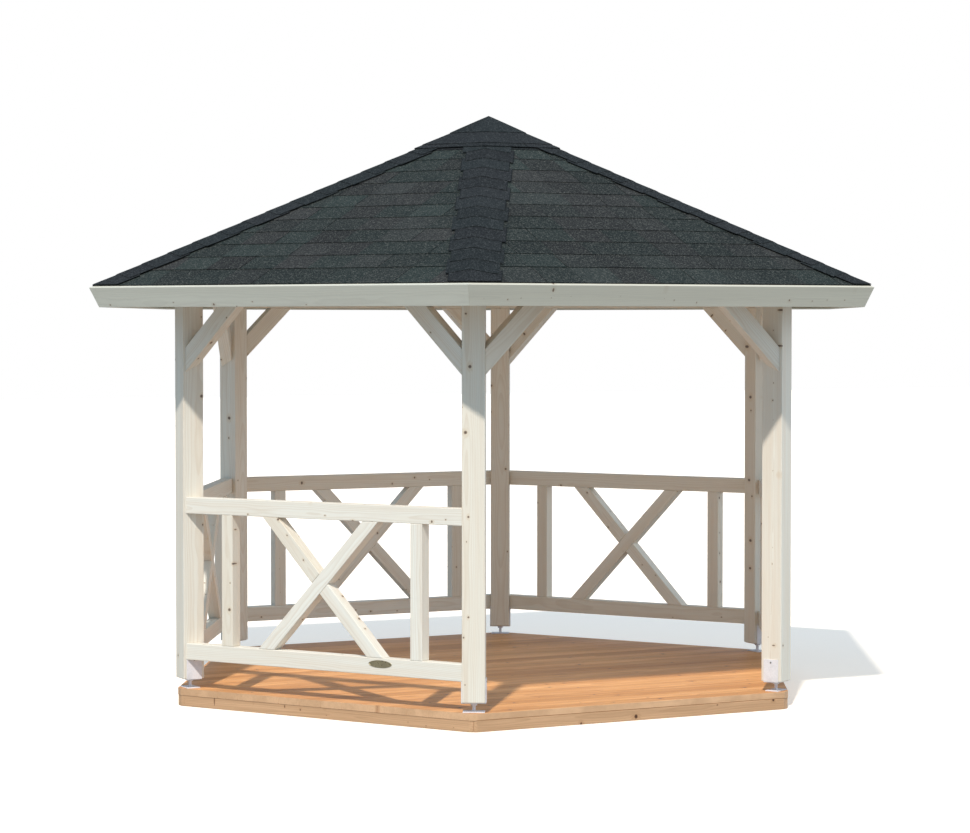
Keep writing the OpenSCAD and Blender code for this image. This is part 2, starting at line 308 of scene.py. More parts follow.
zinc = zincFinish("galvanisedZinc", (0.81, 0.765, 0.765), 0.50, 0.05)
screwSteel = zincFinish("screwSteel", (0.24, 0.23, 0.22), 0.38, 0.8)
bronze = zincFinish("agedBronze", (0.34, 0.28, 0.17), 0.36, 0.7)
print("finishes made")


# sizes taken from the construction
postLow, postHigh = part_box("post_right")
floorLow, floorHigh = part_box("deck_floor")
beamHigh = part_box("beam_back")[1]
railLow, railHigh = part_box("railing_back")
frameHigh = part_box("deck_frame")[1]
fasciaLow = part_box("fascia_back")[0]
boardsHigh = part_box("roof_boards_back")[1]

postSide = postHigh[0] - postLow[0]
postRadius = (postHigh[0] + postLow[0]) / 2
footTop, headZ = postLow[2], postHigh[2]
floorZ, floorTop = floorLow[2], floorHigh[2]
panelFace, beamTop = beamHigh[1], beamHigh[2]
deckReach = floorHigh[1]            # to the middle of a side
frameReach = frameHigh[1]
pitch = radians(25)
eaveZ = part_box("fascia_back")[1][2]     # the fascia's upper edge
eaveReach = boardsHigh[1]
apexZ = boardsHigh[2]
boardThick = 0.019
bays = {"front": 270, "front_right": 330, "back_right": 30, "back": 90, "back_left": 150, "front_left": 210}
posts = {"right": 0, "back_right": 60, "back_left": 120, "left": 180, "entry_left": 240, "entry_right": 300}


def towards(angle, rise=0.0):
    # level unit vector at an angle in degrees, with an upright part if wanted
    a = radians(angle)
    return Vector((cos(a), sin(a), rise))


def inBay(angle, along, out, up):
    # point in a bay's own measures: along the bay, out from the centre, up
    return towards(angle - 90) * along + towards(angle) * out + Vector((0, 0, up))


up = Vector((0, 0, 1))
print("pitch plane", round(eaveReach, 4), round(eaveZ, 4), round(apexZ, 4))


def put(name, data):
    # a new object in the scene
    made = bpy.data.objects.new(name, data)
    bpy.context.scene.collection.objects.link(made)
    return made


def cutAway(shape, point, outward):
    # takes off what lies beyond a plane, and gives the edges left by the cut
    everything = shape.verts[:] + shape.edges[:] + shape.faces[:]
    cut = bmesh.ops.bisect_plane(shape, geom=everything, plane_co=point, plane_no=outward,
                                 clear_outer=True, dist=1e-6)
    return [e for e in cut["geom_cut"] if isinstance(e, bmesh.types.BMEdge)]


class Lumber:
    # gathers sticks and plates into one mesh; each keeps its own grain direction and shade

    def __init__(self, seed):
        self.rng = Random(seed)
        self.points, self.faces = [], []
        self.grain, self.tone, self.hue = [], [], []

    def stick(self, start, end, wide, width, depth, cuts=(), edge=0.003, tone=None):
        # width is measured along "wide", depth across it; cuts are (point, outward normal)
        axis = (end - start).normalized()
        wide = (wide - axis * wide.dot(axis)).normalized()
        deep = axis.cross(wide)
        shape = bmesh.new()
        for corner in ((a, b, c) for a in (0, 1) for b in (-1, 1) for c in (-1, 1)):
            shape.verts.new((end if corner[0] else start) + wide * (corner[1] * width / 2)
                            + deep * (corner[2] * depth / 2))
        bmesh.ops.convex_hull(shape, input=shape.verts[:])
        bmesh.ops.dissolve_limit(shape, angle_limit=0.01, verts=shape.verts[:], edges=shape.edges[:])
        for point, outward in cuts:
            rim = cutAway(shape, point, outward)
            if rim:
                bmesh.ops.contextual_create(shape, geom=rim)
        bmesh.ops.recalc_face_normals(shape, faces=shape.faces[:])
        if edge:
            sharp = [e for e in shape.edges if len(e.link_faces) == 2 and e.calc_face_angle() > 0.2]
            bmesh.ops.bevel(shape, geom=sharp, offset=edge, segments=2, profile=0.5,
                            affect="EDGES", clamp_overlap=True)
        self.take(shape, start, axis, wide, deep, tone)

    def take(self, shape, start, axis, wide, deep, tone=None):
        # adds a finished shape, with its grain measured from the start of its stick
        rng = self.rng
        skip = Vector((rng.uniform(0, 40), rng.uniform(-0.05, 0.05), rng.uniform(-0.05, 0.05)))
        shade = rng.random() if tone is None else tone
        tint = rng.random()
        shape.verts.index_update()
        first = len(self.points)
        for v in shape.verts:
            d = v.co - start
            self.points.append(v.co.copy())
            self.grain.append(Vector((d.dot(axis), d.dot(wide), d.dot(deep))) + skip)
            self.tone.append(shade)
            self.hue.append(tint)
        self.faces += [[first + v.index for v in f.verts] for f in shape.faces]
        shape.free()

    def turning(self, profile, centre, segments):
        # closed round shape from (radius, height) pairs, bottom to top, both ends on the axis
        shape = bmesh.new()
        rings = []
        for radius, height in profile:
            if radius < 1e-6:
                rings.append([shape.verts.new(centre + up * height)])
                continue
            rings.append([shape.verts.new(centre + up * height + towards(360 * k / segments) * radius)
                          for k in range(segments)])
        for low, high in zip(rings, rings[1:]):
            for k in range(segments):
                n = (k + 1) % segments
                loop = [low[k % len(low)], low[n % len(low)], high[n % len(high)], high[k % len(high)]]
                loop = [v for i, v in enumerate(loop) if v not in loop[:i]]
                shape.faces.new(loop)
        bmesh.ops.recalc_face_normals(shape, faces=shape.faces[:])
        self.take(shape, centre, up, towards(0), towards(90))

    def piece(self, name, stands=(), finish=spruce, slot="whitewashed_spruce"):
        mesh = bpy.data.meshes.new(name)
        mesh.from_pydata(self.points, [], self.faces)
        layer = mesh.attributes.new("grain", "FLOAT_VECTOR", "POINT")
        layer.data.foreach_set("vector", [c for g in self.grain for c in g])
        for label, values in (("tone", self.tone), ("hue", self.hue)):
            mesh.attributes.new(label, "FLOAT", "POINT").data.foreach_set("value", values)
        mesh.materials.append(finish)
        settle(put(name, mesh), stands)


def settle(piece, stands):
    # every piece rides on the one body and stands for its own part of the construction
    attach(piece, "root")
    if stands:
        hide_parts(*stands)


def sidesAt(reach, angles):
    # upright planes at one distance from the middle
    return [(towards(a) * reach, towards(a)) for a in angles]


def mitre(angle, offset=0.0):
    # the two upright planes through a bay's corners, moved into the bay by an offset
    return [(towards(a) * offset, -towards(a)) for a in (angle - 60, angle + 60)]


# posts
postLook = {"edge": 0.004}
for name, angle in posts.items():
    post = Lumber(100 + angle)
    foot = towards(angle) * postRadius
    post.stick(foot + up * footTop, foot + up * headZ, towards(angle), postSide, postSide,
               edge=postLook["edge"])
    post.piece("post_timber_" + name, ["post_" + name])
print("posts made")

# railings: two rails, two balusters and a cross, whose arms are halved together
railLook = {"thick": 0.070, "railHeight": 0.090, "barWidth": 0.074, "barIn": 0.313, "crossTopIn": 0.291,
            "crossLowIn": 0.262, "edge": 0.0035, "joint": 0.0004, "stock": 1.2, "over": 0.08}
railUnder, railOver = railLow[2], railHigh[2]
crossBase = railUnder + railLook["railHeight"]
crossHead = railOver - railLook["railHeight"]
barAt = postRadius / 2 - railLook["barIn"]
crossTop, crossLow = barAt - railLook["crossTopIn"], barAt - railLook["crossLowIn"]
middle = panelFace - railLook["thick"] / 2


def railing(name, angle, leading):
    wood = Lumber(200 + angle)
    side, edge = towards(angle - 90), railLook["edge"]
    ends = mitre(angle, postSide / 2)
    for base in (railUnder, crossHead):
        z = base + railLook["railHeight"] / 2
        half = railLook["stock"]
        wood.stick(inBay(angle, -half, middle, z), inBay(angle, half, middle, z), up, railLook["railHeight"],
                   railLook["thick"], ends, edge)
    for x in (-barAt, barAt):
        wood.stick(inBay(angle, x, middle, crossBase), inBay(angle, x, middle, crossHead), side,
                   railLook["barWidth"], railLook["thick"], (), edge)
    level = [(up * crossBase, -up), (up * crossHead, up)]
    arms = {}
    for lean in (-1, 1):
        low = inBay(angle, -lean * crossLow, middle, crossBase)
        high = inBay(angle, lean * crossTop, middle, crossHead)
        along = (high - low).normalized()
        arms[lean] = (low, high, along)
    low, high, along = arms[leading]
    over = railLook["over"]     # past the rails, and cut level there
    wood.stick(low - along * over, high + along * over, side, railLook["barWidth"], railLook["thick"],
               level, edge)
    across = along.cross(towards(angle)).normalized() * (railLook["barWidth"] / 2 + railLook["joint"])
    low2, high2, along2 = arms[-leading]
    for sign in (-1, 1):
        wood.stick(low2 - along2 * over, high2 + along2 * over, side, railLook["barWidth"],
                   railLook["thick"], level + [(low + across * sign, -across.normalized() * sign)], edge)
    wood.piece("railing_timber_" + name, ["railing_" + name])


for name, angle in bays.items():
    if name != "front":
        railing(name, angle, -1 if name == "front_left" else 1)
print("railings made")

# head beams and knee braces
headLook = {"beamWidth": 0.120, "beamEdge": 0.004, "braceDepth": 0.096, "braceDrop": 0.364, "thick": 0.070,
            "edge": 0.0035, "stock": 1.3, "over": 0.2}
for name, angle in bays.items():
    beam = Lumber(300 + angle)
    out, z = panelFace - headLook["beamWidth"] / 2, (headZ + beamTop) / 2
    half = headLook["stock"]
    beam.stick(inBay(angle, -half, out, z), inBay(angle, half, out, z), up, beamTop - headZ,
               headLook["beamWidth"], mitre(angle), headLook["beamEdge"])
    beam.piece("beam_timber_" + name, ["beam_" + name])


def gapHalf(out):
    # half the clear width between two posts, at a distance from the centre
    return postRadius / 2 - (postSide / 2 - (out - postRadius * cos(radians(30))) / 2) / cos(radians(30))


for name, lean in (("left_hand", -1), ("right_hand", 1)):
    braces = Lumber(400 + lean)
    for angle in bays.values():
        footX, drop = gapHalf(panelFace), headLook["braceDrop"]
        low = inBay(angle, lean * footX, middle, headZ - drop)
        high = inBay(angle, lean * (footX - drop), middle, headZ)
        along = (high - low).normalized()
        above = (up - along * along.dot(up)).normalized() * (headLook["braceDepth"] / 2)
        cuts = [(up * headZ, up)] + mitre(angle, postSide / 2)
        over = along * headLook["over"]
        braces.stick(low + above - over, high + above + over, above, headLook["braceDepth"],
                     headLook["thick"], cuts, headLook["edge"])
    braces.piece("braces_timber_" + name, ["braces_" + name])
print("head made")

# roof planes, as (point, outward normal), lifted square to the slope by some amount
slope = tan(pitch)


def slopeNormal(angle):
    return towards(angle) * sin(pitch) + up * cos(pitch)


def downSlope(angle):
    return towards(angle) * cos(pitch) - up * sin(pitch)


def roofPlane(angle, lift):
    return up * apexZ + slopeNormal(angle) * lift, slopeNormal(angle)


def onSlope(angle, along, down, lift=0.0):
    # point on a bay's slope: along the eave, down from the peak, lifted square to it
    return up * apexZ + downSlope(angle) * down + slopeNormal(angle) * lift + towards(angle - 90) * along


eaveDown = eaveReach / cos(pitch)


def eaveCut(angle, down=eaveDown):
    return onSlope(angle, 0, down), downSlope(angle)


# hip rafters and the block they meet on
fasciaLook = {"height": 0.117, "thick": 0.020, "edge": 0.0015, "stock": 1.35}
rafterLook = {"width": 0.070, "seat": 0.045, "kingReach": 0.080, "kingStock": 0.4, "tailClear": 0.016,
              "edge": 0.004, "above": 0.12, "from": 0.03, "back": 0.1, "reach": 2.9}
hipFall = atan(slope * cos(radians(30)))


def hipUnder(out):
    # height of the boards' underside over the hip line
    return apexZ - boardThick / cos(pitch) - out * slope * cos(radians(30))


seatRadius = panelFace / cos(radians(30))
rafterHeight = hipUnder(seatRadius) - beamTop + rafterLook["seat"]
tailZ = fasciaLow[2] + fasciaLook["thick"] * sin(pitch) + rafterLook["tailClear"]
rafters = Lumber(500)
for angle in posts.values():
    fall = towards(angle) * cos(hipFall) - up * sin(hipFall)
    square = towards(angle) * sin(hipFall) + up * cos(hipFall)
    inner, above = rafterLook["from"], rafterLook["above"]
    depth = (rafterHeight + above) * cos(hipFall)
    top = towards(angle) * inner + up * (hipUnder(inner) + above)
    start = top - square * (depth / 2)
    cuts = [roofPlane(angle - 30, -boardThick), roofPlane(angle + 30, -boardThick),
            (up * tailZ, -up), (towards(angle) * rafterLook["kingReach"], -towards(angle))]
    cuts += [eaveCut(angle - 30), eaveCut(angle + 30)]
    rafters.stick(start - fall * rafterLook["back"], start + fall * rafterLook["reach"], square, depth,
                  rafterLook["width"], cuts, rafterLook["edge"])
rafters.piece("hip_rafter_timber", ["hip_rafters"])

king = Lumber(510)
kingBase = up * (hipUnder(rafterLook["kingReach"]) - rafterHeight)
kingCuts = [roofPlane(a, -boardThick) for a in bays.values()]
kingCuts += sidesAt(rafterLook["kingReach"], posts.values())
stock = rafterLook["kingStock"]
king.stick(kingBase, kingBase + up * stock, towards(0), stock, stock, kingCuts, rafterLook["edge"])
king.piece("king_timber", ["king_block"])

# fascia, square to the slope, mitred at the corners
fasciaTones = {"front_left": 0.0, "front": 0.55}
for name, angle in bays.items():
    fascia = Lumber(600 + angle)
    centre = onSlope(angle, 0, eaveDown + fasciaLook["thick"] / 2, -fasciaLook["height"] / 2)
    half = towards(angle - 90) * fasciaLook["stock"]
    fascia.stick(centre - half, centre + half, slopeNormal(angle), fasciaLook["height"],
                 fasciaLook["thick"], mitre(angle), fasciaLook["edge"], fasciaTones.get(name))
    fascia.piece("fascia_board_" + name, ["fascia_" + name], fasciaPaint, "fascia_paint")
print("roof frame made")

# deck frame and joists
deckLook = {"frameWidth": 0.058, "clip": 0.012, "joists": 5, "edge": 0.003, "stock": 1.3}
cornerReach = frameReach / cos(radians(30)) - deckLook["clip"]
deckFrame = Lumber(700)
for angle in bays.values():
    out = frameReach - deckLook["frameWidth"] / 2
    corners = sidesAt(cornerReach, (angle - 30, angle + 30))
    half, z = deckLook["stock"], floorZ / 2
    deckFrame.stick(inBay(angle, -half, out, z), inBay(angle, half, out, z), up, floorZ,
                    deckLook["frameWidth"], mitre(angle) + corners, deckLook["edge"])
deckFrame.piece("deck_frame_timber", ["deck_frame"], larchEdge, "larch_deck")
innerReach = frameReach - deckLook["frameWidth"]
joists = Lumber(710)
inside = sidesAt(innerReach, bays.values())
for k in range(1, deckLook["joists"] + 1):
    x = innerReach / cos(radians(30)) * (2 * k / (deckLook["joists"] + 1) - 1)
    joists.stick(Vector((x, -2, floorZ / 2)), Vector((x, 2, floorZ / 2)), up, floorZ,
                 deckLook["frameWidth"], inside, deckLook["edge"])
joists.piece("deck_joist_timber", ["deck_joists"], larchEdge, "larch_deck")

# adjustable post feet: base plate, stem with a nut, forked bracket, with a screw in each cheek
footLook = {"plateWidth": 0.114, "plateDepth": 0.076, "steel": 0.005, "stem": 0.0172, "strapWidth": 0.088,
            "strapHeight": 0.122, "nut": 0.030, "nutHeight": 0.013, "washer": 0.040, "edge": 0.0009,
            "nutEdge": 0.0012, "segments": 28}
feet = Lumber(800)
for angle in posts.values():
    centre, side, out = towards(angle) * postRadius, towards(angle + 90), towards(angle)
    t, w = footLook["steel"], footLook["strapWidth"]
    half = footLook["plateDepth"] / 2
    feet.stick(centre - out * half + up * (floorTop + t / 2), centre + out * half + up * (floorTop + t / 2),
               side, footLook["plateWidth"], t, (), footLook["edge"])
    forkZ = footTop - t / 2
    feet.stick(centre - out * (w / 2) + up * forkZ, centre + out * (w / 2) + up * forkZ, side,
               postSide + 2 * t, t, (), footLook["edge"])
    for sign in (-1, 1):
        cheek = centre + side * (sign * (postSide / 2 + t / 2))
        feet.stick(cheek + up * (footTop - t), cheek + up * (footTop + footLook["strapHeight"]), out, w, t,
                   (), footLook["edge"])
    low, high, r = floorTop + t, footTop - t, footLook["stem"] / 2
    feet.turning([(0, low - 0.001), (r * 1.35, low - 0.001), (r * 1.2, low + 0.002), (r, low + 0.005),
                  (r, high - 0.004), (r * 1.3, high - 0.001), (r * 1.3, high + 0.001), (0, high + 0.001)],
                 centre, footLook["segments"])
    nutZ = high - footLook["nutHeight"]
    sixSides = [(towards(a) * (footLook["nut"] / 2) + centre, towards(a)) for a in range(0, 360, 60)]
    feet.stick(centre + up * nutZ, centre + up * (high - 0.003), side, 0.05, 0.05, sixSides,
               footLook["nutEdge"])
    r = footLook["washer"] / 2
    feet.turning([(0, high - 0.003), (r, high - 0.003), (r + 0.0006, high - 0.0015), (r, high + 0.0002),
                  (0, high + 0.0002)], centre, footLook["segments"])
feet.piece("post_foot_brackets", ["post_feet"], zinc, "galvanised_steel")
print("deck frame and feet made")


class Layout(Net):
    # named inputs for the sizes; ends in real geometry with its finish

    def __init__(self, name, sizes):
        tree = bpy.data.node_groups.new(name, "GeometryNodeTree")
        super().__init__(tree)
        face = tree.interface
        face.new_socket(name="Geometry", in_out="OUTPUT", socket_type="NodeSocketGeometry")
        face.new_socket(name="Shape", in_out="INPUT", socket_type="NodeSocketGeometry")
        for label, value in sizes.items():
            kind = "NodeSocketInt" if isinstance(value, int) else "NodeSocketFloat"
            socket = face.new_socket(name=label, in_out="INPUT", socket_type=kind)
            socket.default_value = value
        self.inlet = tree.nodes.new("NodeGroupInput")
        self.outlet = tree.nodes.new("NodeGroupOutput")
        self.shape = self.size("Shape")

    def size(self, label):
        return Wire(self, self.inlet.outputs[label])

    def index(self):
        return self.add("GeometryNodeInputIndex")

    def place(self):
        return self.add("GeometryNodeInputPosition")

    def draw(self, low, high, channel):
        # a random number for each point or stick, from the one seed
        return self.add("FunctionNodeRandomValue", {"data_type": "FLOAT"},
                        {2: low, 3: high, 8: self.size("Seed") + channel})

    def store(self, geometry, label, value, kind="FLOAT"):
        return self.add("GeometryNodeStoreNamedAttribute", {"data_type": kind, "domain": "POINT"},
                        {"Geometry": geometry, "Name": label, "Value": value})

    def read(self, label, kind="FLOAT"):
        return self.add("GeometryNodeInputNamedAttribute", {"data_type": kind}, {"Name": label})

    def points(self, count, position=None):
        ports = {"Count": count}
        if position is not None:
            ports["Position"] = position
        points = self.add("GeometryNodePoints", None, ports)
        for channel, label in ((1, "tone"), (2, "hue")):
            points = self.store(points, label, self.draw(0.0, 1.0, channel))
        skip = self.vector(self.draw(0.0, 40.0, 3), self.draw(-0.05, 0.05, 4), self.draw(-0.05, 0.05, 5))
        return self.store(points, "skip", skip, "FLOAT_VECTOR")

    def block(self, across, along):
        # a unit block with that many rows of points
        return self.add("GeometryNodeMeshCube", None, {"Size": (1, 1, 1), "Vertices X": across,
                                                       "Vertices Y": along, "Vertices Z": 2})

    def repeat(self, points, shape):
        copies = self.add("GeometryNodeInstanceOnPoints", None, {"Points": points, "Instance": shape})
        return self.add("GeometryNodeRealizeInstances", None, {"Geometry": copies})

    def grained(self, geometry, place):
        # keeps the grain's own coordinates, with each stick's random start
        moved = self.shifted(place, self.read("skip", "FLOAT_VECTOR"))
        return self.store(geometry, "grain", moved, "FLOAT_VECTOR")

    def move(self, geometry, position):
        return self.add("GeometryNodeSetPosition", None, {"Geometry": geometry, "Position": position})

    def turn(self, vector, angle):
        return self.add("ShaderNodeVectorRotate", {"rotation_type": "Z_AXIS"},
                        {"Vector": vector, "Angle": angle})

    def close(self, geometry, finish):
        real = self.add("GeometryNodeRealizeInstances", None, {"Geometry": geometry})
        done = self.add("GeometryNodeSetMaterial", None, {"Geometry": real, "Material": finish})
        self.tree.links.new(done.socket, self.outlet.inputs[0])
        return self


def trim(mesh, cuts):
    # cuts a mesh by planes, closes every cut and turns all faces outwards
    shape = bmesh.new()
    shape.from_mesh(mesh)
    for point, outward in cuts:
        bmesh.ops.holes_fill(shape, edges=[e for e in cutAway(shape, point, outward) if e.is_boundary])
    bmesh.ops.recalc_face_normals(shape, faces=shape.faces[:])
    shape.to_mesh(mesh)
    shape.free()


def lay(name, layout, stands=(), shape=None, values=None, cuts=()):
    # runs a layout and keeps its result as a plain mesh
    made = put(name, shape or bpy.data.meshes.new(name + "_stock"))
    modifier = made.modifiers.new("layout", "NODES")
    modifier.node_group = layout.tree
    for item in layout.tree.interface.items_tree:
        if item.item_type == "SOCKET" and item.in_out == "INPUT" and item.name in (values or {}):
            modifier[item.identifier] = values[item.name]
    graph = bpy.context.evaluated_depsgraph_get()
    plain = bpy.data.meshes.new_from_object(made.evaluated_get(graph), preserve_all_data_layers=True,
                                            depsgraph=graph)
    made.modifiers.clear()
    made.data = plain
    for label in ("skip", "start"):
        if label in plain.attributes:
            plain.attributes.remove(plain.attributes[label])
    trim(plain, cuts)
    settle(made, stands)


def prism(name, half, section):
    # a closed bar along X with the given section in Y and Z
    points = [(x, y, z) for x in (-half, half) for y, z in section]
    n = len(section)
    faces = [[k, (k + 1) % n, n + (k + 1) % n, n + k] for k in range(n)]
    faces += [list(range(n)), list(range(n, 2 * n))]
    mesh = bpy.data.meshes.new(name)
    mesh.from_pydata(points, [], faces)
    return mesh


def planks(name, finish, sizes, onSlopeOf=None):
    # boards side by side: level on the deck, or on a roof slope that is then turned to its bay
    tree = Layout(name, sizes)
    across = (tree.index() + 0.5) * tree.size("Pitch") + tree.size("Start")
    points = tree.points(tree.size("Boards"), tree.vector(0.0, across, tree.size("Height")))
    boards = tree.repeat(points, tree.store(tree.shape, "grain", tree.place(), "FLOAT_VECTOR"))
    boards = tree.grained(boards, tree.read("grain", "FLOAT_VECTOR"))
    if onSlopeOf:
        boards = tree.move(boards, slopePlace(tree, *tree.parts(tree.place())))
    return tree.close(boards, finish)


def slopePlace(tree, along, down, lift):
    # from a slope's own measures to the real place in the bay
    out = down * cos(pitch) + lift * sin(pitch)
    high = apexZ - down * sin(pitch) + lift * cos(pitch)
    return tree.turn(tree.vector(along, out, high), tree.size("Turn"))


# deck boards, side by side across the deck
corner = deckReach / cos(radians(30)) - deckLook["clip"]
larch = woodFinish("oiledLarch", dict(larchLook, rim=deckReach, rimCorner=corner,
                                      sawnPale=sawnLook["pale"], sawnWarm=sawnLook["warm"],
                                      sawnLate=sawnLook["late"]))
floorLook = {"Boards": 28, "gap": 0.0012, "arris": 0.0020, "under": 0.0030, "reach": 2.1, "seed": 11}
floorPitch = 2 * deckReach / floorLook["Boards"]
half, thick, arris = (floorPitch - floorLook["gap"]) / 2, floorTop - floorZ, floorLook["arris"]
under = floorLook["under"]
deckShape = prism("deckBoard", floorLook["reach"], [(under - half, 0), (half - under, 0), (half, under),
                                     (half, thick - arris), (half - arris, thick),
                                     (arris - half, thick), (-half, thick - arris), (-half, under)])
deckTree = planks("deckBoards", larch, {"Boards": floorLook["Boards"], "Pitch": floorPitch,
                                        "Start": -deckReach, "Height": floorZ, "Seed": floorLook["seed"]})
outline = (sidesAt(deckReach, (a for a in bays.values() if a not in (90, 270)))
           + sidesAt(corner, posts.values()))
lay("deck_boards", deckTree, ["deck_floor"], deckShape, cuts=outline)
print("deck boards laid")

# roof boards on each slope, with bevelled edges on the side seen from below
liningLook = {"Boards": 24, "gap": 0.0008, "bevel": 0.004, "reach": 1.5, "seed": 21}
liningPitch = eaveDown / liningLook["Boards"]
half, bevel = (liningPitch - liningLook["gap"]) / 2, liningLook["bevel"]
liningShape = prism("roofBoard", liningLook["reach"], [(-half, 0), (half, 0), (half, bevel - boardThick),
                                       (half - bevel, -boardThick), (bevel - half, -boardThick),
                                       (-half, bevel - boardThick)])
liningTree = planks("roofBoards", pine, {"Boards": liningLook["Boards"], "Pitch": liningPitch,
                                         "Start": 0.0, "Height": 0.0, "Turn": 0.0,
                                         "Seed": liningLook["seed"]}, True)
for name, angle in bays.items():
    lay("roof_lining_" + name, liningTree, ["roof_boards_" + name], liningShape,
        {"Turn": radians(angle - 90), "Seed": liningLook["seed"] + angle}, mitre(angle))
print("roof boards laid")

# felt shingles: tabs in courses, each course lapping the one below it
tabLook = {"Courses": 13, "Across": 16, "Tab": 0.222, "Exposure": 0.1665, "First": 0.195, "Thick": 0.0024,
           "Slit": 0.0024, "Line": 0.0004, "Joint": 0.0, "Shift": 0.2125, "Turn": 0.0, "Seed": 31,
           "Eave": eaveDown, "Curl": 0.0014, "Reach": 2.3}
tabJoints = {"front": (-0.125, -0.2125), "front_left": (0.1375, 0.2125), "front_right": (0.06, 0.2125),
             "back": (0.02, -0.2125), "back_left": (-0.2, 0.2125), "back_right": (0.3, -0.2125)}
tabs = Layout("shingleCourses", tabLook)
size = tabs.size
number = tabs.index()
acrossCount = size("Across")
row = (number / acrossCount).floor()
course = row - 1.0      # the starter course lies below the eave and is cut off there
tabNumber = number - row * acrossCount
width = size("Tab")
left = size("Joint") + (course % 2.0) * size("Shift") + (tabNumber - acrossCount / 2.0) * width
low = size("Eave") - course * size("Exposure") - (course > 0.5) * (size("First") - size("Exposure"))
strip = tabNumber % 4.0
gapBefore = size("Line") + (strip < 0.5) * size("Slit")
gapAfter = size("Line") + (strip > 2.5) * size("Slit")
start = tabs.vector(left + gapBefore, low + tabs.draw(-0.0012, 0.0, 6), width - gapBefore - gapAfter)
points = tabs.points(size("Courses") * acrossCount)
points = tabs.store(points, "start", start, "FLOAT_VECTOR")
felt = tabs.repeat(points, tabs.block(4, 8))
u, q, side = tabs.parts(tabs.shifted(tabs.place(), (0.5, 0.5, 0.5)))
startX, startDown, span = tabs.parts(tabs.read("start", "FLOAT_VECTOR"))
reach, thickness = size("Exposure"), size("Thick")
upFrom = q * reach * size("Reach")
along, down = startX + u * span, startDown - upFrom
share = upFrom / reach
wave = tabs.noise(tabs.vector(along * 7.0, share, tabs.read("hue") * 9.0), 1.0, 1.0)
rise = (1.0 - share).most(0.0)
under = (thickness + wave * size("Curl")) * rise
over = (thickness * (2.0 - share)).most(0.0003) + wave * size("Curl") * rise
lift = under + side * (over - under)
felt = tabs.grained(felt, tabs.vector(along, down, lift))
felt = tabs.move(felt, slopePlace(tabs, along, down, lift))
tabs.close(felt, tabFelt)
for name, angle in bays.items():
    joint, shift = tabJoints[name]
    lay("shingle_tabs_" + name, tabs, ["shingles_" + name],
        values={"Turn": radians(angle - 90), "Joint": joint, "Shift": shift, "Seed": tabLook["Seed"] + angle},
        cuts=mitre(angle, 0.0004) + [eaveCut(angle, eaveDown + 0.0003)])
print("shingles laid")

# hip caps: a run of folded pieces up every hip
hipLook = {"Pieces": 14, "Hips": 6, "Step": 0.158, "Lap": 0.055, "Half": 0.135, "Shift": 0.009,
           "Centre": 0.018, "Thick": 0.0021, "Base": 0.0062, "Stand": 0.0026, "Fold": 0.012,
           "Sweep": 0.081, "Seed": 41, "Eave": eaveReach / cos(radians(30)), "Flare": 0.0015}
hips = Layout("hipCaps", hipLook)
size = hips.size
number = hips.index()
hipNumber = (number / size("Pieces")).floor()
step = number - hipNumber * size("Pieces")
side = (step % 2.0) * 2.0 - 1.0
start = hips.vector(size("Eave") - step * size("Step") * cos(hipFall) + hips.draw(-0.003, 0.003, 6),
                    size("Centre") - side * size("Shift") + hips.draw(-0.002, 0.002, 7),
                    hipNumber * radians(60))
points = hips.store(hips.points(size("Pieces") * size("Hips")), "start", start, "FLOAT_VECTOR")
felt = hips.repeat(points, hips.block(15, 6))
u, q, side = hips.parts(hips.shifted(hips.place(), (0.0, 0.5, 0.5)))
startOut, shift, turn = hips.parts(hips.read("start", "FLOAT_VECTOR"))
upFrom = q * (size("Step") + size("Lap"))
share = upFrom / size("Step")
across = u * abs(u) * 4.0 * size("Half") + shift      # finer steps near the fold
out = startOut - upFrom * cos(hipFall) - abs(across) * size("Sweep")
rise = (1.0 - share).most(0.0)
thickness, flare = size("Thick"), size("Flare")
wave = hips.noise(hips.vector(across * 9.0, share, hips.read("hue") * 9.0), 1.0, 1.0)
under = size("Base") + (thickness + wave * flare) * rise
over = size("Base") + thickness * (2.0 - share).most(1.0) + wave * flare * rise
lift = under + side * (over - under) + size("Stand") * (abs(u) * 2.0) ** 8.0
fold = size("Fold")
ridge = (across * across + fold * fold).root() - fold * 0.3
high = apexZ - (out * cos(radians(30)) + ridge * sin(radians(30))) * slope + lift / cos(pitch)
# the rim measure, near 1 at a piece's side edges, is where the felt finish paints its dark shadow line
felt = hips.store(felt, "rim", abs(u) * abs(u) * 4.0)
felt = hips.grained(felt, hips.vector(across, out, lift))
felt = hips.move(felt, hips.turn(hips.vector(out, across, high), turn))
hips.close(felt, capFelt)
lay("hip_cap_pieces", hips, ["hip_caps"], cuts=[eaveCut(a) for a in bays.values()])
print("hip caps laid")

# apex cap: folded sheets in tiers over a closed cone of felt
apexLook = {"tiers": [
    {"corner": 0.473, "under": 0.0075, "edge": 0.0122, "thick": 0.0035, "gap": 0.0025, "peak": 0.06},
    {"corner": 0.420, "under": 0.0125, "edge": 0.0152, "thick": 0.0020, "gap": 0.0020, "peak": 0.06},
    {"corner": 0.244, "under": 0.0190, "edge": 0.0158, "thick": 0.0025, "gap": 0.0, "peak": 0.0015}],
    "seams": {270: (-0.035, 0.0), 210: (-0.02, 0.25), 330: (0.03, 0.0), 30: (0.0, 0.1),
              90: (0.04, 0.0), 150: (-0.03, 0.0)}, "rows": 8, "columns": 10,
    "core": {"down": 0.52, "foot": 0.472, "lift": 0.0005, "top": 0.0062, "over": 0.05, "width": 0.9,
             "depth": 0.03}}


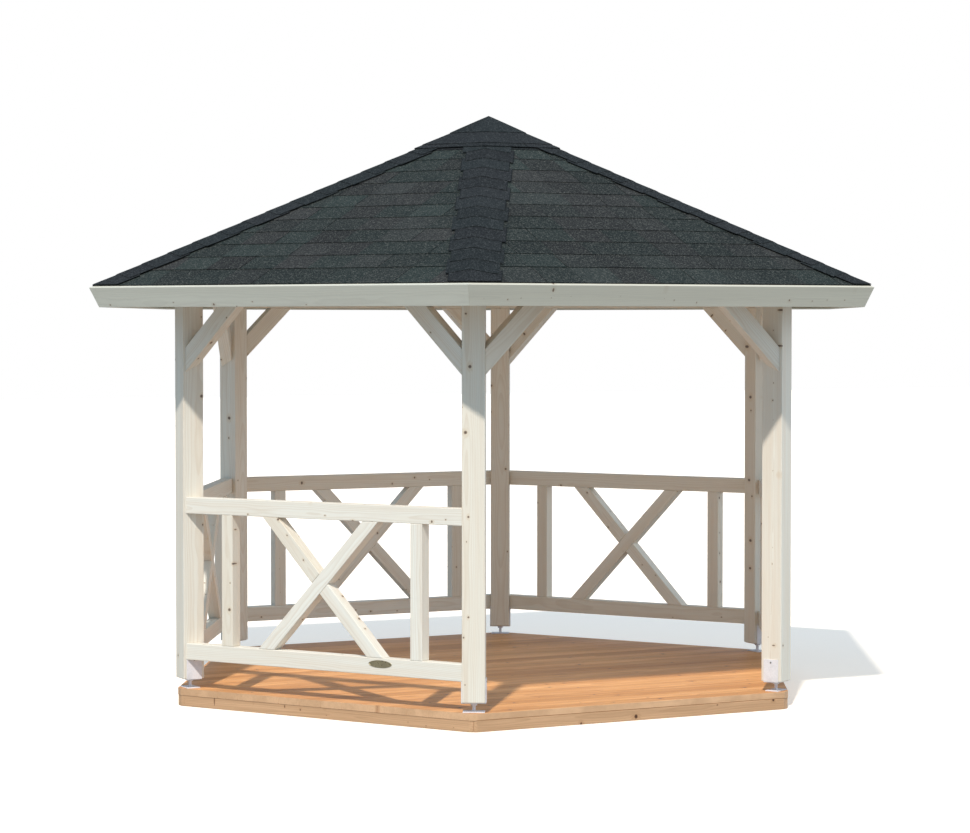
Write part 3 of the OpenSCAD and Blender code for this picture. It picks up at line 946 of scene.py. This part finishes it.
def slab(place, columns, rows):
    # a closed thin sheet from a rule for its points: across, down and which face
    shape = bmesh.new()
    grid = [[[shape.verts.new(place(2 * i / columns - 1, j / rows, face)) for j in range(rows + 1)]
             for i in range(columns + 1)] for face in (0, 1)]
    for i in range(columns):
        for j in range(rows):
            for layer in grid:
                shape.faces.new((layer[i][j], layer[i + 1][j], layer[i + 1][j + 1], layer[i][j + 1]))
    rim = [(i, 0) for i in range(columns)] + [(columns, j) for j in range(rows)]
    rim += [(i, rows) for i in range(columns, 0, -1)] + [(0, j) for j in range(rows, 0, -1)]
    for (a, b), (c, d) in zip(rim, rim[1:] + rim[:1]):
        shape.faces.new((grid[0][a][b], grid[0][c][d], grid[1][c][d], grid[1][a][b]))
    bmesh.ops.recalc_face_normals(shape, faces=shape.faces[:])
    return shape


def apexSheet(hip, tier, rng):
    # a sheet folded over one hip, reaching to the seams in the middle of both slopes
    full = tier["corner"] * cos(radians(30)) / cos(pitch)
    phase = rng.uniform(0, 6)

    def place(u, v, face):
        bay = hip + (30 if u > 0 else -30)
        first = tier["peak"] - (tier["under"] + face * tier["thick"]) * tan(pitch)
        down = first + v * (full - first)
        lift = tier["under"] + (tier["edge"] - tier["under"]) * v ** 2 + face * tier["thick"]
        corner = (down * cos(pitch) + lift * sin(pitch)) * tan(radians(30))
        seam, slant = apexLook["seams"][bay % 360]
        seam = max(-0.6 * corner, min(0.6 * corner, seam + slant * (down - 0.3))) if tier["gap"] else 0.0
        sign = 1 if u > 0 else -1
        along = sign * corner + (seam + sign * tier["gap"] / 2 - sign * corner) * abs(u)
        wave = 0.0006 * sin(5 * u + phase)
        return onSlope(bay, along, down, lift + wave * v * abs(u))
    return slab(place, apexLook["columns"], apexLook["rows"])


apex, core = Lumber(520), apexLook["core"]
for angle in bays.values():
    lower = onSlope(angle, 0, core["down"], core["lift"])
    upper = onSlope(angle, 0, -core["over"], core["lift"])
    cuts = mitre(angle) + [roofPlane(angle, core["top"]), eaveCut(angle, core["foot"])]
    apex.stick(lower, upper, towards(angle - 90), core["width"], core["depth"], cuts, 0)
for tier in apexLook["tiers"]:
    for angle in posts.values():
        sheet = apexSheet(angle, tier, apex.rng)
        apex.take(sheet, up * apexZ, towards(angle), towards(angle + 90), up)
apex.piece("apex_cap_sheets", ["apex_cap"], capFelt, "roof_caps")
print("apex cap made")

# screws: one in each cheek of the post feet
screwLook = {"Screws": 12, "Radius": postRadius, "Face": postSide / 2 + footLook["steel"],
             "Height": footTop + footLook["strapHeight"] - 0.017, "Seed": 61}
screwShape = Lumber(530)
screwShape.turning([(0, -0.001), (0.0046, -0.001), (0.0050, 0.0006), (0.0046, 0.0018), (0.0030, 0.0026),
                    (0.0014, 0.0026), (0.0010, 0.0018), (0, 0.0018)], Vector((0, 0, 0)), 12)
screwMesh = bpy.data.meshes.new("screwHead")
screwMesh.from_pydata(screwShape.points, [], screwShape.faces)
screws = Layout("strapScrews", screwLook)
points = screws.points(screws.size("Screws"))
number = screws.index()
turn = (number / 2.0).floor() * radians(60)
points = screws.store(points, "start", screws.vector(turn, (number % 2.0) * 2.0 - 1.0, 0.0), "FLOAT_VECTOR")
heads = screws.repeat(points, screws.shape)
x, y, z = screws.parts(screws.place())
turn, side = screws.parts(screws.read("start", "FLOAT_VECTOR"))[:2]
heads = screws.grained(heads, screws.place())
spot = screws.vector(screws.size("Radius") + x, side * (screws.size("Face") + z), screws.size("Height") + y)
screws.close(screws.move(heads, screws.turn(spot, turn)), screwSteel)
lay("post_foot_screws", screws, shape=screwMesh)
print("screws set")

# a blank oval plate on the lower rail beside the entrance
plateLook = {"long": 0.146, "high": 0.040, "rim": 0.0045, "thick": 0.0020, "lip": 0.0028, "below": 0.031,
             "aside": 0.036, "steps": 40}
plate, steps = Lumber(540), plateLook["steps"]
plateAt = inBay(210, -crossLow - plateLook["aside"], panelFace - 0.0004, crossBase - plateLook["below"])
shape = bmesh.new()
rings = []
for inset, lift in ((0, 0), (0, plateLook["lip"] - 0.0006), (0.0008, plateLook["lip"]),
                    (plateLook["rim"] - 0.001, plateLook["lip"]), (plateLook["rim"], plateLook["thick"])):
    wide, high = plateLook["long"] / 2 - inset, plateLook["high"] / 2 - inset
    rings.append([shape.verts.new(plateAt + towards(120) * wide * cos(a) + up * high * sin(a)
                                  + towards(210) * lift)
                  for a in (2 * pi * k / steps for k in range(steps))])
for low, high in zip(rings, rings[1:]):
    for k in range(steps):
        n = (k + 1) % steps
        shape.faces.new((low[k], low[n], high[n], high[k]))
shape.faces.new(rings[0])
shape.faces.new(rings[-1])
bmesh.ops.recalc_face_normals(shape, faces=shape.faces[:])
plate.take(shape, plateAt, towards(120), up, towards(210))
plate.piece("railing_oval_plate", (), bronze, "galvanised_steel")
print("plate fixed")

# floor, sky, lamps and camera
groundMesh = bpy.data.meshes.new("studioFloor")
groundMesh.from_pydata([(-60, -60, 0), (60, -60, 0), (60, 60, 0), (-60, 60, 0)], [], [(0, 1, 2, 3)])
ground = put("studioFloor", groundMesh)
stageLook = {"sky": (0.90, 1.27, 1.66), "skyStrength": 0.42, "backdrop": 1.0, "floorSeen": (0.90, 0.80, 0.70),
             "floorGlow": (1.0, 0.91, 0.82), "glowStrength": 0.32, "floorBounce": (0.37, 0.36, 0.34)}
pale = Finish("paleFloor", 0.9)
cloud = pale.noise(pale.spot(), 0.5, 2.0)
seen = pale.add("ShaderNodeLightPath", None, None, "Is Camera Ray")
shown = pale.mix(cloud, stageLook["floorSeen"], tuple(c * 1.03 for c in stageLook["floorSeen"]))
pale.set("Base Color", pale.mix(seen, stageLook["floorBounce"], shown))
pale.set("Emission Color", pale.mix(seen, (0.0, 0.0, 0.0), stageLook["floorGlow"]))
pale.set("Emission Strength", stageLook["glowStrength"])
groundMesh.materials.append(pale.material)
world = bpy.data.worlds.new("studioSky")
world.use_nodes = True
sky = Net(world.node_tree)
fill = sky.add("ShaderNodeBackground", None, {"Color": stageLook["sky"],
                                              "Strength": stageLook["skyStrength"]})
backdrop = sky.add("ShaderNodeBackground", None, {"Color": (1.0, 1.0, 1.0),
                                                  "Strength": stageLook["backdrop"]})
seen = sky.add("ShaderNodeLightPath", None, None, "Is Camera Ray")
sky.add("ShaderNodeOutputWorld", None, {"Surface": sky.add("ShaderNodeMixShader", None,
                                                           {0: seen, 1: fill, 2: backdrop})})
bpy.context.scene.world = world

# a sun, a soft lamp from the side, one under the peak and one facing the far railings from within
lampLook = {
    "keyLight": ("SUN", {"energy": 3.5, "angle": radians(2.0), "color": (1.0, 0.972, 0.915)},
                 (0, 0, 0), (232, tan(radians(51.5)))),
    "sideLight": ("SUN", {"energy": 0.78, "angle": radians(45), "color": (1.0, 1.0, 1.0)},
                  (0, 0, 0), (345, tan(radians(16)))),
    "innerFill": ("AREA", {"shape": "DISK", "size": 2.6, "energy": 4.2, "spread": radians(100),
                           "color": (0.88, 1.0, 1.05)}, (0, 0, 2.45), None),
    "backFill": ("AREA", {"shape": "RECTANGLE", "size": 2.0, "size_y": 1.0, "energy": 5.4,
                          "color": (0.95, 1.0, 0.97)}, (-0.55, -0.95, 1.35), (242, 0.05))}
for name, (kind, settings, place, source) in lampLook.items():
    lamp = bpy.data.lights.new(name, kind)
    for label, value in settings.items():
        setattr(lamp, label, value)
    made = put(name, lamp)
    made.location = place
    if source:      # azimuth and rise of the way back to the lamp
        made.rotation_euler = towards(*source).to_track_quat("Z", "Y").to_euler()
    made.visible_camera = False

cameraLook = {"place": (-7.602, -14.499, 2.103), "tilt": 88.113, "turn": -27.594, "lens": 104.68}
lens = bpy.data.cameras.new("camera")
lens.lens, lens.sensor_width = cameraLook["lens"], 36
camera = put("camera", lens)
camera.location = cameraLook["place"]
camera.rotation_euler = (radians(cameraLook["tilt"]), 0, radians(cameraLook["turn"]))
bpy.context.scene.camera = camera
bpy.context.scene.view_settings.view_transform = "Standard"
print("stage set")
